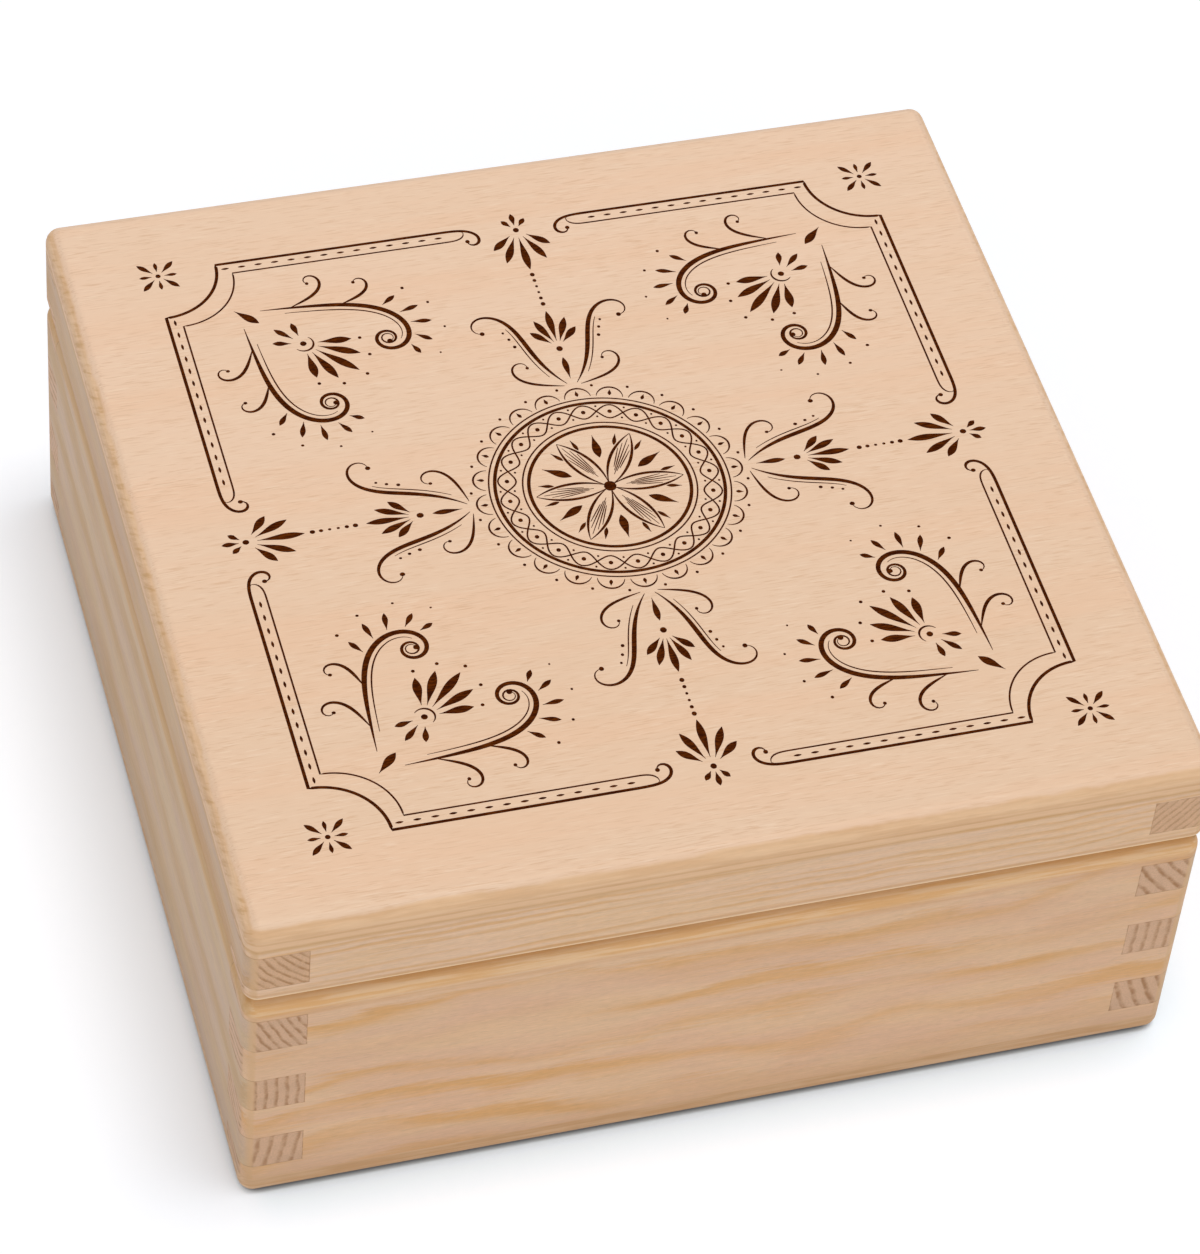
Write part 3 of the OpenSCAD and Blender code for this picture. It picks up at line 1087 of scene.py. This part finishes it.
# The two side tones below are greyer and darker than the front's and back's: partly their own wood,
# partly painted shade of the side faces
SIDE_RAIL_TONES = Tones(
    early=tone(213, 178, 139),
    late=tone(207, 164, 119),
    pink=tone(209, 174, 144),
    end_base=tone(219, 177, 140),
    end_line=tone(178, 130, 84),
)
SIDE_TONES = Tones(
    early=tone(216, 185, 149),
    late=tone(208, 172, 131),
    pink=tone(213, 181, 154),
    end_base=tone(217, 177, 144),
    end_line=tone(172, 125, 84),
)

# Fingers of the side boards, seen from the front, and of the long boards, seen from a side
LEFT_FINGERS = [
    FingerEnd(80, 120, 3.0, 0.8),
    FingerEnd(91, 90, 2.4, 0.85),
    FingerEnd(-64, 110, 2.0, 0.95),
    FingerEnd(-50, 26, 1.75, 0.9),
]
RIGHT_FINGERS = [
    FingerEnd(-70, 70, 3.3, 1.0),
    FingerEnd(88, 150, 2.7, 0.7),
    FingerEnd(-52, 50, 3.0, 1.0),
    FingerEnd(50, 80, 1.8, 0.6),
]
LONG_FINGERS = [
    FingerEnd(20, 40, 2.8, 0.8),
    FingerEnd(-15, 60, 2.5, 0.8),
    FingerEnd(10, 90, 3.0, 0.8),
    FingerEnd(-25, 50, 2.2, 0.7),
]

FRONT_GROWTH = Growth(out=-10, height=-60, ring=7.5, slope=0.03, wander=34, ripple=12, fray=0.75)
BACK_GROWTH = Growth(out=30, height=-40, ring=6.5, slope=-0.02, wander=26, ripple=8, fray=0.75)
RAIL_GROWTH = Growth(out=80, height=-200, ring=2.4, slope=0.012, wander=10, ripple=5, fray=0.9)
SIDE_GROWTH = Growth(out=40, height=-90, ring=17.0, slope=0.02, wander=26, ripple=8, fray=0.8)


def dress(material, *nodes):
    for node in nodes:
        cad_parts[node].material_slots[0].material = material


def dress_boards():
    for name, sign, growth in (("front", -1, FRONT_GROWTH), ("back", 1, BACK_GROWTH)):
        middle = sign * MIDDLE
        wood = pine(f"pine_base_{name}", True, middle, growth, BASE_TONES, LONG_FINGERS, 1)
        dress(wood, f"base_{name}_board")
        rail = pine(f"pine_lid_{name}", True, middle, RAIL_GROWTH, RAIL_TONES, LONG_FINGERS, 1)
        dress(rail, f"lid_{name}_rail")
    for name, sign, fingers in (("left", -1, LEFT_FINGERS), ("right", 1, RIGHT_FINGERS)):
        middle = sign * MIDDLE
        wood = pine(f"pine_base_{name}", False, middle, SIDE_GROWTH, SIDE_TONES, fingers, 0)
        dress(wood, f"base_{name}_board")
        rail = pine(f"pine_lid_{name}", False, middle, SIDE_GROWTH, SIDE_RAIL_TONES, fingers, 0)
        dress(rail, f"lid_{name}_rail")


def dress_panels():
    no_veneer = -2.0
    bottom = Panel(FOOT_SEAM, no_veneer, tone(222, 182, 142), tone(210, 164, 118))
    top = Panel(TOP, VENEER, tone(236, 197, 157), tone(226, 184, 142))
    dress(panel_wood("plywood_bottom", bottom), "bottom_panel")
    engraved_panel([panel_wood("face_veneer_wood", top), burnt_wood("burnt_line")])


def dress_hinges():
    leaf_light, leaf_dark = tone(214, 178, 112), tone(196, 158, 96)
    brass = brushed_metal("brushed_brass", leaf_light, leaf_dark, 0.26, 0.14, round_screws)
    steel = brushed_metal("pin_steel", tone(190, 188, 184), tone(150, 148, 145), 0.3, 0.15)
    head_light, head_dark = tone(226, 196, 138), tone(206, 172, 112)
    screw = brushed_metal("screw_brass", head_light, head_dark, 0.24, 0.12, on_screws)
    for side in ("left", "right"):
        dress(brass, f"{side}_hinge_base_leaf", f"{side}_hinge_lid_leaf")
        dress(steel, f"{side}_hinge_pin")
    dress(screw, "base_hinge_screws", "lid_hinge_screws")


# ---------------------------------------------------------------- floor, light, camera


def seen_directly(g):
    """1 for rays that show the background: from the camera, off gloss or through glass."""
    path = g.tree.nodes.new("ShaderNodeLightPath")
    kinds = ("Is Camera Ray", "Is Glossy Ray", "Is Transmission Ray")
    camera, glossy, through = [Field(g, path.outputs[k]) for k in kinds]
    return camera.larger(glossy).larger(through)


def make_floor():
    """White floor: it bounces light as paper does, and shows a softened shadow.

    Within reach of the box both are dimmed, by how much of the sky the box hides there:
    steeply under the foot's round, and gently further out, where no lamp's shadow lies.
    """
    size = 6.0  # metres
    bounce = tone(230, 230, 230)
    shadowed = tone(221, 224, 229)
    # A cooler painted tint near the box's lit sides, against the warm light that the wood reflects onto
    # the floor
    beside_wood = tone(212, 224, 233)
    lift = 0.33
    reach = 0.02  # metres
    mesh = bpy.data.meshes.new("floor")
    corners = [(-size, -size, 0), (size, -size, 0), (size, size, 0), (-size, size, 0)]
    mesh.from_pydata(corners, [], [(0, 1, 2, 3)])
    floor = bpy.data.objects.new("floor", mesh)
    bpy.context.scene.collection.objects.link(floor)
    g = new_graph("floor_white")
    seen = seen_directly(g)
    sky = g.node("ShaderNodeAmbientOcclusion", output="AO", named={"Distance": reach})
    paper = g.tree.nodes.new("ShaderNodeBsdfDiffuse")
    x = g.place()[0]
    lit_side = x.rise(-HALF - 4, -HALF + 8, 0.0, 1.0)
    dim = sky.rise(0.2, 0.6, 0.15, 1.0) * (1 - sky.rise(0.3, 1.0, 0.12, 0.0) * lit_side)
    tint = g.mix(sky.rise(0.6, 1.0, 1.0, 0.0) * lit_side, shadowed, beside_wood)
    g.put(g.shade(g.mix(seen, bounce, tint), dim), paper.inputs["Color"])
    glow = g.tree.nodes.new("ShaderNodeEmission")
    g.put(seen * lift * dim, glow.inputs["Strength"])
    both = g.tree.nodes.new("ShaderNodeAddShader")
    g.tree.links.new(paper.outputs[0], both.inputs[0])
    g.tree.links.new(glow.outputs[0], both.inputs[1])
    g.finish(both)
    mesh.materials.append(g.owner)


def make_world():
    """Even fill light from all round, pure white where it is seen."""
    world = bpy.data.worlds.new("studio")
    bpy.context.scene.world = world
    g = Graph(world)
    fill = g.tree.nodes.new("ShaderNodeBackground")
    fill.inputs["Color"].default_value = (0.97, 0.99, 1.03, 1.0)
    fill.inputs["Strength"].default_value = 0.45
    white = g.tree.nodes.new("ShaderNodeBackground")
    white.inputs["Color"].default_value = (1.0, 1.0, 1.0, 1.0)
    white.inputs["Strength"].default_value = 1.0
    mix = g.tree.nodes.new("ShaderNodeMixShader")
    g.put(seen_directly(g), mix.inputs[0])
    g.tree.links.new(fill.outputs[0], mix.inputs[1])
    g.tree.links.new(white.outputs[0], mix.inputs[2])
    g.finish(mix, "ShaderNodeOutputWorld")


def make_lamp(name, toward_lamp, strength, spread, colour):
    """A distant soft lamp: toward_lamp points at it, spread is its breadth in degrees."""
    data = bpy.data.lights.new(name, "SUN")
    data.energy = strength
    data.angle = math.radians(spread)
    data.color = colour
    lamp = bpy.data.objects.new(name, data)
    lamp.rotation_mode = "QUATERNION"
    lamp.rotation_quaternion = Vector(toward_lamp).to_track_quat("Z", "Y")
    bpy.context.scene.collection.objects.link(lamp)


def make_camera():
    """The photograph's view: from the front left, high up, turned a little."""
    place = Vector((-0.2684, -0.7544, 0.9484))
    target = Vector((-0.0003, -0.0036, 0.05))
    roll = math.radians(5.79)
    data = bpy.data.cameras.new("camera")
    data.sensor_width = 36.0
    data.lens = 146.56
    camera = bpy.data.objects.new("camera", data)
    turn = (place - target).to_track_quat("Z", "Y").to_matrix() @ Matrix.Rotation(roll, 3, "Z")
    camera.matrix_world = Matrix.LocRotScale(place, turn.to_quaternion(), None)
    bpy.context.scene.collection.objects.link(camera)
    bpy.context.scene.camera = camera


LAMP_WHITE = (1.0, 0.985, 0.965)

bpy.context.scene.view_settings.view_transform = "Standard"
make_camera()
make_world()
make_floor()
make_lamp("key", (0.16, -0.03, 1.0), 1.35, 20, LAMP_WHITE)
make_lamp("front", (-0.4, -1.0, 0.8), 0.5, 60, LAMP_WHITE)
dress_boards()
dress_panels()
dress_hinges()
